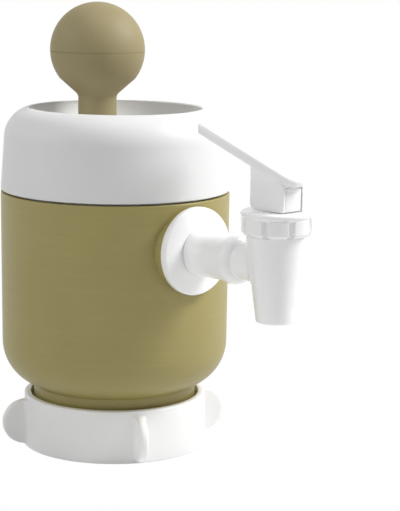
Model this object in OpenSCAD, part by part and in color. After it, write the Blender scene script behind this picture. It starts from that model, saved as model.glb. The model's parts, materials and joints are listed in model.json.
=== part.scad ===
// Hand pump with a lever tap, for the neck of a large water jug.
// Z is up and +X points from the body's axis to the tap.
// The origin is the centre of the jug neck's bore, at its mouth, on the plane that the pump stands on.

/* [Housing] */
// Outer diameter of the round housing at the joint with the cap
body_d = 95; // [92:1:104]
// Amount by which the housing's radius shrinks towards its lower edge
body_draft = 0.4; // [0:0.1:1]
// Wall of the housing
wall = 3; // [2.4:0.1:3.4]
// Height of the joint between housing and top cap
seam_z = 107; // [104:1:116]
// Radius of the rounded lower edge of the housing
bottom_r = 19; // [16:0.5:21]
// Height of the underside of the housing's floor
floor_z = 26; // [25:0.5:28]
// Thickness of the housing's floor
floor_t = 3; // [2.4:0.1:4]
// Outer diameter of the neck under the housing
neck_d = 68; // [66.6:0.2:69]
// Wall of that neck
neck_wall = 2.5; // [2:0.1:2.6]

/* [Top cap] */
// Height of the top cap above the joint
cap_h = 34.5; // [32:0.5:40]
// Amount by which the cap's radius shrinks towards its shoulder
shoulder_draft = 1.2; // [0.4:0.1:2]
// Radius of the cap's shoulder
shoulder_r = 11.8; // [8:0.2:14]
// Wall of the cap
cap_wall = 2.6; // [2:0.1:3]
// Depth of the dished top
dish_depth = 12.5; // [10:0.5:15]
// Radius of the lip round the dish
lip_r = 4; // [3.2:0.1:5]
// Length of the cap's skirt inside the housing
skirt_h = 8; // [7:0.5:12]
// Wall of that skirt
skirt_t = 3.2; // [3:0.1:4]
// Gap that shows between cap and housing
seam_gap = 0.3; // [0.1:0.1:0.5]
// Section diameter of the ring seal in the skirt
cap_seal_d = 1.8; // [1.4:0.1:2]

/* [Knob and plunger] */
// Diameter of the ball knob
ball_d = 40; // [36:1:44]
// Height of the ball's centre above the cap's lip
ball_lift = 22.8; // [22:0.2:30]
// Distance of the pump's axis from the body's axis, away from the tap
pump_offset = 12; // [10:0.5:14]
// Wall of the ball's two shells
ball_wall = 2.5; // [2:0.1:3.5]
// Diameter of the tubular plunger under the ball
plunger_d = 16; // [14:0.5:17]
// Bore of the plunger
plunger_bore = 10; // [8:0.5:11]
// Radius of the fillet between ball and plunger
knob_fillet = 3; // [2:0.5:4]

/* [Air cylinder] */
// Travel of the plunger
stroke = 50; // [40:1:54]
// Bore of the air cylinder
cylinder_bore = 30; // [27:0.5:31]
// Wall of the air cylinder
cylinder_wall = 2; // [1.6:0.1:2.4]
// Thickness of the cylinder's end wall, over the outlet valve
cylinder_floor_t = 3; // [2.5:0.1:4]
// Outer diameter of the threaded spigot under the cylinder
cylinder_spigot_d = 13; // [12:0.5:14]
// Bore of that spigot
cylinder_spigot_bore = 9.6; // [9:0.1:10]
// Thickness of the piston's rigid disc
piston_t = 4; // [3:0.5:6]
// Height of the piston's rubber cup
cup_h = 6; // [5:0.5:8]
// Height of the rubber bumper on the plunger
bumper_h = 4; // [3:0.5:6]
// Thickness of the cylinder head's top
head_t = 4; // [3:0.5:5]
// Length of the cylinder head's skirt
head_skirt = 10; // [8:1:14]

/* [Jug fitting] */
// Bore of the split grip that holds the jug's neck
grip_bore = 56; // [54:0.5:56.4]
// Length of that bore
grip_l = 11; // [10:0.5:12]
// Number of slots in the grip
grip_slots = 8; // [6:1:10]
// Width of each slot
grip_slot_w = 2; // [1:0.2:3]
// Wall of the lock ring at its top
ring_wall = 2.7; // [2.2:0.1:3.4]
// Amount by which the lock ring's radius grows towards its foot
ring_draft = 0.9; // [0.4:0.1:1.4]
// Height of the lock ring
ring_h = 21.7; // [20:0.1:23]
// Gap between the neck and the lock ring's mouth
ring_mouth_gap = 1.3; // [0.8:0.1:1.6]
// Thickness of the jug's face seal
jug_seal_t = 2.8; // [2:0.2:3.4]
// Number of finger lugs on the lock ring
lug_count = 4; // [3:1:6]
// Direction of the first lug, in degrees from +X
lug_angle = -25; // [-60:1:60]
// Thickness of a lug
lug_t = 3.4; // [2.6:0.2:4.6]
// Height of a lug
lug_h = 19; // [16:0.5:20]
// Distance by which a lug stands out from the lock ring
lug_out = 10.2; // [8:0.2:12]

/* [Water way] */
// Distance of the dip tube's axis from the body's axis, towards the tap
dip_offset = 13; // [12:0.5:14]
// Diameter of the spigot that the dip tube pushes on
dip_d = 9; // [8:0.5:9.4]
// Length of that spigot
dip_l = 8; // [6:0.5:8.5]
// Bore of the water way
water_bore = 5.6; // [4.6:0.2:6]
// Inner diameter of the riser hose
hose_bore = 8.2; // [7.8:0.1:8.8]
// Wall of the riser hose
hose_wall = 1.9; // [1.5:0.1:2]
// Radius of the riser hose's bend
hose_bend = 12.4; // [12:0.2:14]

/* [Tap] */
// Height of the tap's level pipe
tap_z = 87.7; // [84:0.5:90]
// Distance of the tap's barrel from the body's axis
tap_x = 94.5; // [88:0.5:104]
// Diameter of the round flange on the housing
flange_d = 34.4; // [32:0.2:36]
// Height of the flange's dome in front of the housing
flange_h = 4; // [3:0.2:5]
// Diameter of the tap's threaded shank
shank_d = 14; // [13:0.5:15]
// Diameter of the sleeve in front of the flange
sleeve_d = 17.8; // [17:0.2:19]
// Length of that sleeve
sleeve_l = 20.2; // [16:0.2:21]
// Diameter of the collar between sleeve and pipe
collar_d = 17.2; // [16.4:0.2:18]
// Length of that collar
collar_l = 5; // [4:0.2:6]
// Diameter of the pipe into the barrel
pipe_d = 14.8; // [14:0.2:16]
// Height of the barrel's outlet end
spout_z = 66.4; // [62:0.2:70]
// Outer diameter of the barrel at its outlet
spout_d = 14.4; // [14:0.2:16]
// Bore of the outlet
spout_bore = 10.4; // [9:0.2:10.6]
// Length of the outlet's bore
spout_l = 10.4; // [8:0.2:11]
// Outer diameter of the barrel under the bonnet
barrel_d = 23.4; // [22.4:0.2:24.4]
// Outer diameter of the bonnet nut
bonnet_d = 27.6; // [27:0.2:29]
// Height of the bonnet nut
bonnet_h = 8; // [7.4:0.2:9]
// Height of the bonnet's top
bonnet_z = 108.7; // [106:0.1:111]
// Number of grip notches round the bonnet
notch_count = 8; // [6:1:10]
// Width of a grip notch
notch_w = 2.3; // [1.6:0.1:3]
// Direction of the first notch, in degrees from +X
notch_angle = -13.9; // [-30:0.1:30]

/* [Tap lever] */
// Length of the lever's yoke along X
yoke_l = 18.4; // [17:0.2:20]
// Width of the yoke
yoke_w = 10.8; // [10.4:0.2:12]
// Width of the slot in the yoke
slot_w = 5.4; // [5:0.1:5.6]
// Height of the lever's pivot above the bonnet
pivot_h = 5.3; // [5:0.1:6]
// Radius of the yoke's heel, which rolls on the bonnet
heel_r = 4; // [3:0.2:4.6]
// Rise of the paddle, in degrees from level
paddle_tilt = 24.6; // [20:0.2:30]
// Length of the paddle
paddle_l = 41; // [36:0.5:46]
// Width of the paddle at its free end
paddle_tip_w = 30.8; // [26:0.2:34]
// Width of the paddle over the front of the yoke
paddle_front_w = 13; // [12:0.2:16]
// Thickness of the paddle
paddle_t = 4; // [3:0.1:5]
// Height of the paddle's front edge above the bonnet
paddle_rise = 11.3; // [10.5:0.1:13]
// Diameter of the lever's pin
pin_d = 3; // [2.4:0.1:3.4]
// Diameter of the valve stem
stem_d = 5; // [4:0.2:5.4]
// Wire diameter of the stem's spring
spring_wire = 0.8; // [0.6:0.1:1]
// Mean diameter of the spring
spring_d = 10; // [8.6:0.2:10.6]
// Number of turns of the spring
spring_turns = 8; // [6:1:10]

/* [Clearances] */
// Radial clearance of a running fit
run_gap = 0.06; // [0.02:0.01:0.1]
// Clearance between pieces that are assembled by hand
slip_gap = 0.3; // [0.15:0.05:0.4]
// Clearance between faces that rest on each other
seat_gap = 0.1; // [0:0.05:0.2]

/* [Hidden] */
$fn = 96;
eps = 0.01;

olive = [0.53, 0.49, 0.33];
white = [0.94, 0.94, 0.93];
rubber = [0.16, 0.16, 0.17];
clear_white = [0.82, 0.86, 0.88];
steel = [0.72, 0.73, 0.75];

// Housing
body_r = body_d / 2;
foot_r = body_r - body_draft;
bottom_lift = 1;
bottom_c = floor_z - bottom_lift + bottom_r;
housing_in_r = body_r - wall;
floor_top = floor_z + floor_t;
neck_r = neck_d / 2;
neck_in_r = neck_r - neck_wall;

// Lock ring and grip, from the foot up
lip_h = 1.8;
ring_web_z = lip_h + seat_gap;
ring_web_t = 2.5;
neck_end = ring_web_z + ring_web_t + slip_gap;
grip_r = grip_bore / 2;
grip_out_r = neck_in_r - slip_gap;
ring_mouth_r = neck_r + ring_mouth_gap;
ring_top_r = ring_mouth_r + ring_wall;
ring_foot_r = ring_top_r + ring_draft;
lug_reach = ring_top_r + lug_out;
web_in_r = grip_out_r + slip_gap;
lip_out_r = web_in_r + 1.7;
bead_h = 1.4;
bead_out_r = web_in_r + 0.5;
neck_mouth_h = 4;
neck_mouth_r = bead_out_r + slip_gap;
jug_seal_in_r = 24.8;

// Top cap
cap_top = seam_z + cap_h;
cap_base = seam_z + seam_gap / 2;
housing_top = seam_z - seam_gap / 2;
shoulder_out_r = body_r - shoulder_draft;
shoulder_c_r = shoulder_out_r - shoulder_r;
shoulder_c_z = cap_top - shoulder_r;
dish_wall_r = shoulder_c_r - lip_r;
dish_fillet = dish_depth - lip_r;
dish_c_z = cap_top - lip_r;
dish_floor = cap_top - dish_depth;
skirt_out_r = housing_in_r - slip_gap / 2;
skirt_in_r = skirt_out_r - skirt_t;
ledge_h = 3;
seal_groove_d = cap_seal_d + seat_gap;

// Knob and plunger
ball_r = ball_d / 2;
ball_z = cap_top + ball_lift;
plunger_r = plunger_d / 2;
cone_start = 37;
cone_angle = 48.5;
cone_top_r = ball_r * cos(cone_start);
cone_top_z = ball_z - ball_r * sin(cone_start);
cone_end_z = cone_top_z - (cone_top_r - plunger_r) / tan(cone_angle);
fillet_run = knob_fillet * tan(cone_angle / 2);
ball_seam = 0.15;
cavity_r = ball_r - ball_wall;
tongue_h = 2;
tongue_out_r = cavity_r - 0.4;
tongue_in_r = tongue_out_r - 1.2;
stem_hole_r = plunger_r + 0.6;

// Air cylinder, from the housing's floor up
gasket_t = 1.2;
cyl_base = floor_top + gasket_t;
valve_room = 1.2;
cyl_floor = cyl_base + valve_room + cylinder_floor_t;
cyl_in_r = cylinder_bore / 2;
cyl_out_r = cyl_in_r + cylinder_wall;
spigot_r = cylinder_spigot_d / 2;
spigot_in_r = cylinder_spigot_bore / 2;
nut_t = 4.4;
nut_r = 10;
spigot_end = floor_z - nut_t - 1.6;
foot_seat_r = 11;
screw_head_h = 2;
washer_t = 1.5;
washer_r = cyl_in_r - 5;
bottom_room = 2.6;
screw_z = cyl_floor + bottom_room;
washer_z = screw_z + screw_head_h;
cup_z = washer_z + washer_t;
piston_z = cup_z + cup_h;
plunger_end = piston_z + piston_t;
bumper_z = plunger_end;
stub_r = plunger_bore / 2 - 0.05;
stub_l = piston_t + 7;
screw_hole_r = 1.6;
screw_r = screw_hole_r - 0.1;
screw_l = washer_t + cup_h + piston_t + 4.5;
head_z = bumper_z + bumper_h + stroke + slip_gap;
head_top = head_z + head_t;
head_out_r = cyl_out_r + slip_gap + 2.3;
bush_out_r = plunger_r + run_gap + 2.2;
bush_flange_t = 1.5;
bush_flange_r = bush_out_r + 2;
boss_in_r = bush_flange_r + slip_gap;
boss_out_r = boss_in_r + 2.4;
boss_root = 0.4;
pad_r = 29;
valve_disc_r = spigot_in_r - 0.5;
valve_stem_r = 1.4;
port_r = 1;
port_ring_r = 3.1;

// Water way
dip_r = dip_d / 2;
water_r = water_bore / 2;
dip_shank_r = 5;
dip_flange_r = 8;
dip_flange_t = 2.4;
dip_end = floor_z - dip_flange_t - dip_l - 2;
dip_nut_t = 4;
dip_nut_r = dip_shank_r + 2.9;
barb_r = hose_bore / 2 - 0.1;
barb_l = 10;
hose_r = hose_bore / 2 + hose_wall;
hose_start = floor_top + dip_nut_t + 0.5;
clip_w = 5;
clip_t = 1;

// Tap
shank_r = shank_d / 2;
tap_washer_t = 2;
tap_washer_r = shank_r + 4;
tap_washer_x = sqrt(pow(foot_r - wall, 2) - pow(tap_washer_r, 2)) - tap_washer_t - seat_gap;
tap_nut_t = 4;
tap_nut_x = tap_washer_x - tap_nut_t - seat_gap;
shank_end = tap_nut_x - 1;
hose_end = shank_end - 0.5;
flange_r = flange_d / 2;
flange_x = body_r + flange_h;
flange_rim = 2.2;
flange_round = 1.1;
sleeve_r = sleeve_d / 2;
sleeve_x = flange_x + seat_gap;
collar_r = collar_d / 2;
collar_x = sleeve_x + sleeve_l;
collar_round = 2.4;
pipe_r = pipe_d / 2;
spout_r = spout_d / 2;
barrel_r = barrel_d / 2;
bonnet_r = bonnet_d / 2;
bonnet_base = bonnet_z - bonnet_h;
bonnet_top_t = 2.5;
thread_r = bonnet_r - 2.9;
thread_top = bonnet_z - bonnet_top_t - 0.2;
chamber_top_r = thread_r - 2.1;
chamber_low_r = 6.6;
seat_z = spout_z + spout_l + 3.2;
seat_r = 4.2;
notch_depth = 1.5;
notch_top = bonnet_z - 3.5;
seal_t = 1.1;

// Valve stem, spring and lever
plug_z = seat_z + seat_gap;
plug_h = 3;
plug_r = 5.6;
stem_r = stem_d / 2;
stem_tip_r = stem_r - 0.5;
spring_seat_z = plug_z + plug_h;
spring_seat_t = 1.5;
spring_z0 = spring_seat_z + spring_seat_t + seat_gap;
spring_z1 = thread_top - seal_t - seat_gap;
pin_r = pin_d / 2;
pivot_z = bonnet_z + pivot_h;
blade_w = slot_w - 2 * slip_gap;
blade_rear = 5.6;
blade_front = 7;
blade_top = 4.4;
slot_top = 5.9;
yoke_z = bonnet_z + 0.2;
yoke_rear_x = tap_x - yoke_l / 2;
yoke_front_x = tap_x + yoke_l / 2;
pin_l = slot_w + 3;
paddle_z = bonnet_z + paddle_rise;
edge_r = 1.5;
paddle_tip_round = 5;

// ---- Shared shapes ----

// A tube round the Z axis between two heights
module tube(r_out, r_in, z0, z1) {
    translate([0, 0, z0])
        difference() {
            cylinder(r = r_out, h = z1 - z0);
            translate([0, 0, -eps]) cylinder(r = r_in, h = z1 - z0 + 2 * eps);
        }
}

// A half-plane rectangle for a revolved profile
module band(r0, r1, z0, z1) {
    translate([r0, z0]) square([r1 - r0, z1 - z0]);
}

// A hexagonal nut along Z with a round bore and its corners turned off
module hex_nut(r_out, r_in, z0, t) {
    turned_r = r_out * 0.955;
    translate([0, 0, z0])
        difference() {
            intersection() {
                cylinder(r = r_out, h = t, $fn = 6);
                cylinder(r = turned_r, h = t);
            }
            translate([0, 0, -eps]) cylinder(r = r_in, h = t + 2 * eps);
        }
}

// A hose barb along Z: ridges that taper upwards
module barb(r, r_in, z0, l) {
    ridge_n = 3;
    pitch = l / ridge_n;
    rotate_extrude()
        difference() {
            union() {
                band(0, r - 0.5, z0, z0 + l);
                for (i = [0 : ridge_n - 1])
                    polygon([
                        [0, z0 + i * pitch], [r, z0 + i * pitch],
                        [r - 0.5, z0 + (i + 1) * pitch], [0, z0 + (i + 1) * pitch]
                    ]);
            }
            band(-1, r_in, z0 - 1, z0 + l + 1);
        }
}

module at_pump() {
    translate([-pump_offset, 0, 0]) children();
}

module at_dip() {
    translate([dip_offset, 0, 0]) children();
}

// Turns a piece that is built along Z to lie along the tap's pipe, from x = 0
module along_pipe() {
    translate([0, 0, tap_z]) rotate([0, 90, 0]) children();
}

module at_barrel() {
    translate([tap_x, 0, 0]) children();
}

// ---- Housing and cap ----

module housing_solid_2d() {
    polygon([
        [0, bottom_c], [foot_r, bottom_c], [body_r, housing_top], [0, housing_top]
    ]);
    intersection() {
        translate([foot_r - bottom_r, bottom_c]) circle(bottom_r);
        band(foot_r - bottom_r, foot_r, bottom_c - bottom_r, bottom_c + eps);
    }
    band(0, foot_r - bottom_r + eps, bottom_c - bottom_r, bottom_c + eps);
    band(0, neck_r, neck_end, bottom_c);
}

module housing_hollow_2d() {
    in_r = bottom_r - wall;
    polygon([
        [0, bottom_c], [foot_r - wall, bottom_c],
        [housing_in_r, housing_top + 1], [0, housing_top + 1]
    ]);
    intersection() {
        union() {
            translate([foot_r - bottom_r, bottom_c]) circle(in_r);
            band(0, foot_r - bottom_r, bottom_c - in_r, bottom_c + eps);
        }
        band(0, body_r, floor_top, bottom_c + eps);
    }
    // Space for the jug's neck, with a mouth that tapers to squeeze the grip
    band(0, neck_in_r, neck_end - 1, floor_z);
    polygon([
        [0, neck_end - 1], [neck_mouth_r, neck_end - 1], [neck_mouth_r, neck_end + bead_h + slip_gap],
        [neck_in_r, neck_end + neck_mouth_h], [0, neck_end + neck_mouth_h]
    ]);
}

module housing() {
    color(olive)
        difference() {
            rotate_extrude()
                difference() {
                    housing_solid_2d();
                    housing_hollow_2d();
                }
            at_pump() translate([0, 0, floor_z - 1]) cylinder(r = spigot_r + slip_gap, h = floor_t + 2);
            at_dip() translate([0, 0, floor_z - 1]) cylinder(r = dip_shank_r + slip_gap, h = floor_t + 2);
            along_pipe() translate([0, 0, housing_in_r - 6]) cylinder(r = shank_r + slip_gap, h = 12);
        }
}

module cap_solid_2d() {
    polygon([
        [0, cap_base], [body_r - 0.1, cap_base], [shoulder_out_r, shoulder_c_z], [0, shoulder_c_z]
    ]);
    intersection() {
        translate([shoulder_c_r, shoulder_c_z]) circle(shoulder_r);
        band(shoulder_c_r, shoulder_out_r, shoulder_c_z - eps, cap_top);
    }
    band(0, shoulder_c_r + eps, shoulder_c_z - eps, cap_top);
}

// The dish grown by t, so that t = 0 is the dish itself
module dish_2d(t) {
    band(0, dish_wall_r + t, dish_c_z - eps, cap_top + 1);
    difference() {
        band(dish_wall_r, shoulder_c_r, dish_c_z - eps, cap_top + 1);
        translate([shoulder_c_r, dish_c_z]) circle(lip_r - t);
    }
    intersection() {
        translate([dish_wall_r - dish_fillet, dish_c_z]) circle(dish_fillet + t);
        band(dish_wall_r - dish_fillet, dish_wall_r + t, dish_floor - t, dish_c_z);
    }
    band(0, dish_wall_r - dish_fillet + eps, dish_floor - t, dish_c_z);
}

module cap_hollow_2d() {
    in_r = shoulder_r - cap_wall;
    difference() {
        union() {
            polygon([
                [0, cap_base - 1], [body_r - cap_wall, cap_base - 1],
                [shoulder_out_r - cap_wall, shoulder_c_z], [0, shoulder_c_z]
            ]);
            intersection() {
                translate([shoulder_c_r, shoulder_c_z]) circle(in_r);
                band(shoulder_c_r, shoulder_out_r, shoulder_c_z - eps, cap_top);
            }
            band(0, shoulder_c_r + eps, shoulder_c_z - eps, shoulder_c_z + in_r);
        }
        dish_2d(cap_wall);
    }
}

module top_cap() {
    seal_z = seam_z - skirt_h / 2;
    color(white)
        difference() {
            union() {
                rotate_extrude() {
                    difference() {
                        cap_solid_2d();
                        dish_2d(0);
                        cap_hollow_2d();
                    }
                    // Flat pad under the dish, which the sleeve grows from
                    polygon([
                        [0, dish_floor - cap_wall], [pad_r, dish_floor - cap_wall], [pad_r, dish_floor + 1],
                        [pad_r - 3, dish_floor - boss_root], [0, dish_floor - boss_root]
                    ]);
                    // Ledge and skirt that locate the cap in the housing
                    band(skirt_in_r, body_r - 0.6, cap_base, cap_base + ledge_h);
                    difference() {
                        band(skirt_in_r, skirt_out_r, seam_z - skirt_h, cap_base + ledge_h);
                        band(skirt_out_r - seal_groove_d, body_r, seal_z - cap_seal_d / 2 - 0.1,
                            seal_z + cap_seal_d / 2 + 0.1);
                    }
                }
                // Sleeve that stands on the head of the air cylinder and steadies it
                at_pump() tube(boss_out_r, boss_in_r, head_top + seat_gap, dish_floor - boss_root);
            }
            at_pump() translate([0, 0, dish_floor - cap_wall - 1]) cylinder(r = stem_hole_r, h = cap_wall + 2);
        }
}

module cap_seal() {
    color(rubber)
        rotate_extrude()
            translate([housing_in_r - cap_seal_d / 2 - seat_gap, seam_z - skirt_h / 2])
                circle(d = cap_seal_d, $fn = 24);
}

module jug_seal() {
    color(rubber) tube(neck_in_r - 0.1, jug_seal_in_r, floor_z - jug_seal_t, floor_z);
}

// ---- Air pump ----

module air_cylinder() {
    color(clear_white)
        at_pump()
            difference() {
                union() {
                    translate([0, 0, cyl_base]) cylinder(r = cyl_out_r, h = head_z - cyl_base);
                    translate([0, 0, spigot_end]) cylinder(r = spigot_r, h = cyl_base - spigot_end + eps);
                }
                translate([0, 0, cyl_floor]) cylinder(r = cyl_in_r, h = head_z);
                translate([0, 0, spigot_end - 1])
                    cylinder(r = spigot_in_r, h = cyl_base + valve_room - spigot_end + 1);
                translate([0, 0, cyl_base]) cylinder(r = valve_stem_r + 0.1, h = cyl_floor);
                for (i = [0 : 5])
                    rotate([0, 0, 60 * i])
                        translate([port_ring_r, 0, cyl_base]) cylinder(r = port_r, h = cyl_floor, $fn = 24);
                // The foot is turned down to clear the housing's rounded edge
                difference() {
                    translate([0, 0, cyl_base - eps]) cylinder(r = cyl_out_r + 1, h = valve_room + eps);
                    translate([0, 0, cyl_base - 1]) cylinder(r = foot_seat_r, h = valve_room + 2);
                }
            }
}

module cylinder_gasket() {
    color(rubber) at_pump() tube(foot_seat_r, spigot_r + slip_gap, floor_top, floor_top + gasket_t);
}

module cylinder_nut() {
    color(white) at_pump() hex_nut(nut_r, spigot_r + seat_gap, floor_z - nut_t, nut_t);
}

module cylinder_head() {
    color(white)
        at_pump()
            difference() {
                translate([0, 0, head_z - head_skirt]) cylinder(r = head_out_r, h = head_skirt + head_t);
                translate([0, 0, head_z - head_skirt - 1]) cylinder(r = cyl_out_r + slip_gap, h = head_skirt + 1);
                translate([0, 0, head_z - 1]) cylinder(r = bush_out_r + 0.05, h = head_t + 2);
            }
}

module rod_bush() {
    color(clear_white)
        at_pump() {
            tube(bush_out_r, plunger_r + run_gap, head_z, head_top + eps);
            tube(bush_flange_r, plunger_r + run_gap, head_top, head_top + bush_flange_t);
        }
}

// Umbrella valve: its disc lies under the ports and its stem is pulled through the end wall
module outlet_valve() {
    disc_z = cyl_base + valve_room - 1.1;
    color(rubber)
        at_pump()
            rotate_extrude() {
                band(0, valve_disc_r, disc_z, disc_z + 1);
                band(0, valve_stem_r, disc_z, cyl_floor + 0.2);
                polygon([
                    [0, cyl_floor + 0.1], [valve_stem_r + 0.6, cyl_floor + 0.1],
                    [valve_stem_r - 0.4, cyl_floor + 1.3], [0, cyl_floor + 1.3]
                ]);
            }
}

// Outline of the ball's lower half, the cone below it and the tube
module plunger_solid_2d() {
    intersection() {
        translate([0, ball_z]) circle(ball_r);
        band(0, ball_r, cone_top_z, ball_z);
    }
    // Tube and cone, with the corner between them scooped out to a fillet
    difference() {
        polygon([
            [0, plunger_end], [plunger_r, plunger_end], [plunger_r, cone_end_z - fillet_run],
            [plunger_r + knob_fillet, cone_end_z - fillet_run],
            [plunger_r + fillet_run * sin(cone_angle), cone_end_z + fillet_run * cos(cone_angle)],
            [cone_top_r, cone_top_z], [cone_top_r - 1, cone_top_z + 1], [0, cone_top_z + 1]
        ]);
        translate([plunger_r + knob_fillet, cone_end_z - fillet_run]) circle(knob_fillet);
    }
}

module plunger_hollow_2d() {
    cavity_low = ball_z - cavity_r * sin(cone_start);
    cavity_low_r = cavity_r * cos(cone_start);
    bore_r = plunger_bore / 2;
    intersection() {
        translate([0, ball_z]) circle(cavity_r);
        band(0, tongue_in_r, cavity_low, ball_z + tongue_h + 1);
    }
    polygon([
        [0, plunger_end - 1], [bore_r, plunger_end - 1], [bore_r, cavity_low - cavity_low_r + bore_r],
        [cavity_low_r, cavity_low], [cavity_low_r - 1, cavity_low + 1], [0, cavity_low + 1]
    ]);
}

// Lower shell of the ball and the tubular plunger, moulded as one, with a tongue for the upper shell
module plunger() {
    color(olive)
        at_pump()
            rotate_extrude()
                difference() {
                    union() {
                        plunger_solid_2d();
                        band(tongue_in_r, tongue_out_r, ball_z - 1, ball_z + tongue_h);
                    }
                    plunger_hollow_2d();
                }
}

module knob_cap() {
    color(olive)
        at_pump()
            rotate_extrude()
                difference() {
                    intersection() {
                        translate([0, ball_z]) circle(ball_r);
                        band(0, ball_r, ball_z + ball_seam, ball_z + ball_r);
                    }
                    intersection() {
                        translate([0, ball_z]) circle(cavity_r);
                        band(0, cavity_r, ball_z - 1, ball_z + cavity_r);
                    }
                }
}

module piston() {
    color(white)
        at_pump()
            difference() {
                union() {
                    translate([0, 0, piston_z]) cylinder(r = cyl_in_r - 0.4, h = piston_t);
                    translate([0, 0, piston_z]) cylinder(r = stub_r, h = piston_t + stub_l);
                }
                translate([0, 0, piston_z - 1]) cylinder(r = screw_hole_r, h = piston_t + stub_l - 1);
            }
}

// Cup seal with its lip towards the outlet
module piston_cup() {
    lip_w = 1.6;
    hub_r = washer_r + 0.6;
    color(rubber)
        at_pump()
            rotate_extrude()
                difference() {
                    band(screw_hole_r + 0.6, cyl_in_r - seat_gap, cup_z, cup_z + cup_h);
                    polygon([
                        [hub_r, cup_z - 1], [cyl_in_r - lip_w + 0.6, cup_z - 1],
                        [cyl_in_r - lip_w, cup_z + cup_h - 2], [hub_r, cup_z + cup_h - 2]
                    ]);
                }
}

module cup_washer() {
    color(steel) at_pump() tube(washer_r, screw_hole_r + 0.6, washer_z, washer_z + washer_t);
}

module piston_screw() {
    screw_head_r = 4;
    recess_l = 4.4;
    recess_w = 0.8;
    color(steel)
        at_pump() {
            difference() {
                translate([0, 0, screw_z]) cylinder(r = screw_head_r, h = screw_head_h);
                for (a = [0, 90])
                    rotate([0, 0, a])
                        translate([-recess_l / 2, -recess_w / 2, screw_z - 1]) cube([recess_l, recess_w, 2]);
            }
            translate([0, 0, washer_z - eps]) cylinder(r = screw_r, h = screw_l + eps);
        }
}

module bumper() {
    color(rubber) at_pump() tube(cyl_in_r - 2, plunger_r + seat_gap, bumper_z, bumper_z + bumper_h);
}

// ---- Water way ----

module dip_fitting() {
    color(white)
        at_dip()
            difference() {
                union() {
                    translate([0, 0, dip_end]) cylinder(r1 = dip_r - 0.6, r2 = dip_r, h = 0.6);
                    translate([0, 0, dip_end + 0.6]) cylinder(r = dip_r, h = floor_z - dip_end - 1);
                    translate([0, 0, floor_z - dip_flange_t]) cylinder(r = dip_flange_r, h = dip_flange_t);
                    translate([0, 0, floor_z - 1]) cylinder(r = dip_shank_r, h = floor_t + dip_nut_t + 1.2);
                    barb(barb_r, water_r, floor_top + dip_nut_t, barb_l + 0.6);
                }
                translate([0, 0, dip_end - 1]) cylinder(r = water_r, h = hose_start + barb_l + 2 - dip_end);
            }
}

module dip_nut() {
    color(white) at_dip() hex_nut(dip_nut_r, dip_shank_r + seat_gap, floor_top, dip_nut_t);
}

// Hose from the dip fitting up and round to the tap's shank
module riser_hose() {
    bend_z = tap_z - hose_bend;
    bend_x = dip_offset + hose_bend;
    color(clear_white)
        difference() {
            hose_path(hose_r, hose_start, bend_z, bend_x, hose_end);
            hose_path(hose_bore / 2, hose_start - 1, bend_z, bend_x, hose_end + 1);
        }
}

module hose_path(r, z0, bend_z, bend_x, x1) {
    translate([dip_offset, 0, z0]) cylinder(r = r, h = bend_z - z0 + eps);
    translate([bend_x, 0, bend_z])
        rotate([90, 0, 0])
            rotate([0, 0, 90])
                rotate_extrude(angle = 90) translate([hose_bend, 0]) circle(r, $fn = 48);
    translate([bend_x - eps, 0, tap_z]) rotate([0, 90, 0]) cylinder(r = r, h = x1 - bend_x + eps);
}

module hose_clips() {
    color(steel) {
        at_dip() tube(hose_r + clip_t, hose_r + 0.05, hose_start + 1.5, hose_start + 1.5 + clip_w);
        along_pipe() tube(hose_r + clip_t, hose_r + 0.05, hose_end - 1 - clip_w, hose_end - 1);
    }
}

// ---- Tap ----

// Domed flange whose back follows the round housing
module tap_flange() {
    rim_x = body_r + 0.4;
    dome_h = flange_x - rim_x - flange_rim;
    flat_r = sleeve_r + 1.6;
    back_x = body_r - 5;
    dome_r = (pow(flange_r - flat_r, 2) + pow(dome_h, 2)) / (2 * dome_h);
    color(white)
        difference() {
            along_pipe()
                rotate_extrude()
                    difference() {
                        union() {
                            band(0, flange_r - flange_round, back_x, rim_x + flange_rim);
                            band(0, flange_r, back_x, rim_x + flange_rim - flange_round);
                            translate([flange_r - flange_round, rim_x + flange_rim - flange_round])
                                circle(flange_round, $fn = 48);
                            band(0, flat_r, body_r, flange_x);
                            intersection() {
                                translate([flat_r, flange_x - dome_r]) circle(dome_r);
                                band(flat_r, flange_r, rim_x + flange_rim - eps, flange_x);
                            }
                        }
                        band(-1, shank_r + seat_gap, 0, flange_x + 1);
                    }
            cylinder(r = body_r + 0.05, h = seam_z);
        }
}

module tap_washer() {
    color(rubber)
        along_pipe() tube(tap_washer_r, shank_r + seat_gap, tap_washer_x, tap_washer_x + tap_washer_t);
}

module tap_nut() {
    color(white) along_pipe() hex_nut(tap_washer_r, shank_r + seat_gap, tap_nut_x, tap_nut_t);
}

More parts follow.
